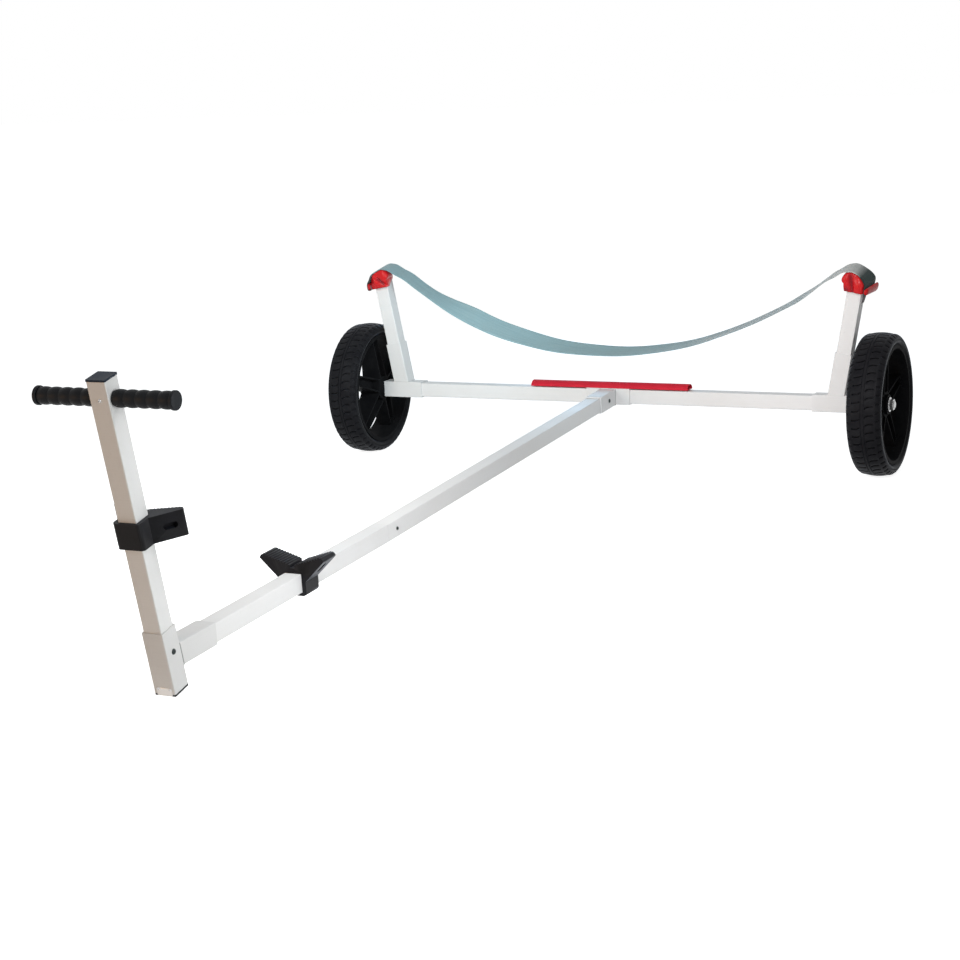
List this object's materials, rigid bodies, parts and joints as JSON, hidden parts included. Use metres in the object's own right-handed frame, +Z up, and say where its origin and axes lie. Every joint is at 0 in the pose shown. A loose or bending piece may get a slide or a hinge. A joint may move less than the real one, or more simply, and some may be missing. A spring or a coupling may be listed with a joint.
{
  "type": "dinghy launching trolley",
  "caption": "Two-wheeled launching trolley of square aluminium tube, with a leaning handle post, V chocks for keel and bow, and a webbing strap slung between uprights to carry a hull.",
  "frame": {"origin": "on the floor, under the middle of the whole trolley's box", "axes": "+X to the right seen from the handle end, +Y to the wheels' end, +Z up"},
  "size_m": [1.635, 2.5798, 0.6263],
  "materials": {
    "aluminium_tube": "satin mill-finish square tube",
    "welded_aluminium": "satin, with weld beads",
    "axle_steel": "zinc plated",
    "black_plastic": "moulded",
    "black_rubber": "matt",
    "grip_rubber": "matt, waved",
    "chock_plastic": "moulded, fine grain",
    "rim_plastic": "moulded",
    "tyre_rubber": "block tread",
    "red_plastic": "moulded, soft gloss",
    "red_fender": "extruded",
    "webbing": "woven polyester webbing"
  },
  "bodies": {
    "chassis": {"crossbeam": "aluminium_tube", "rear_tee": "welded_aluminium", "drawbar_rear": "aluminium_tube", "drawbar_spigot": "aluminium_tube", "drawbar_front": "aluminium_tube", "front_tee": "welded_aluminium", "foot_cap": "black_rubber", "handle_post": "aluminium_tube", "post_cap": "black_plastic", "handlebar": "aluminium_tube", "grip_left": "grip_rubber", "grip_right": "grip_rubber", "strap": "webbing", "fender": "red_fender", "end_bracket_left": "welded_aluminium", "upright_left": "aluminium_tube", "saddle_left": "red_plastic", "beam_plug_left": "black_plastic", "axle_left": "axle_steel", "axle_nut_left": "axle_steel", "end_bracket_right": "welded_aluminium", "upright_right": "aluminium_tube", "saddle_right": "red_plastic", "beam_plug_right": "black_plastic", "axle_right": "axle_steel", "axle_nut_right": "axle_steel"},
    "wheel_left": {"rim_left": "rim_plastic", "tyre_left": "tyre_rubber"},
    "wheel_right": {"rim_right": "rim_plastic", "tyre_right": "tyre_rubber"},
    "bow_chock": {"bow_chock": "chock_plastic"},
    "keel_chock": {"keel_chock": "chock_plastic"}
  },
  "joints": [
    {"name": "wheel_left_spin", "type": "hinge", "parent": "chassis", "child": "wheel_left", "pos_m": [-0.772, 1.09844, 0.1915], "axis": [1, 0, 0], "continuous": true},
    {"name": "wheel_right_spin", "type": "hinge", "parent": "chassis", "child": "wheel_right", "pos_m": [0.772, 1.09844, 0.1915], "axis": [1, 0, 0], "continuous": true},
    {"name": "bow_chock_slide", "type": "slide", "parent": "chassis", "child": "bow_chock", "axis": [0, -0.2212, 0.9752], "range_m": [-0.155, 0.21]},
    {"name": "keel_chock_slide", "type": "slide", "parent": "chassis", "child": "keel_chock", "axis": [0, -0.999, -0.0447], "range_m": [-0.32, 0.32]}
  ]
}
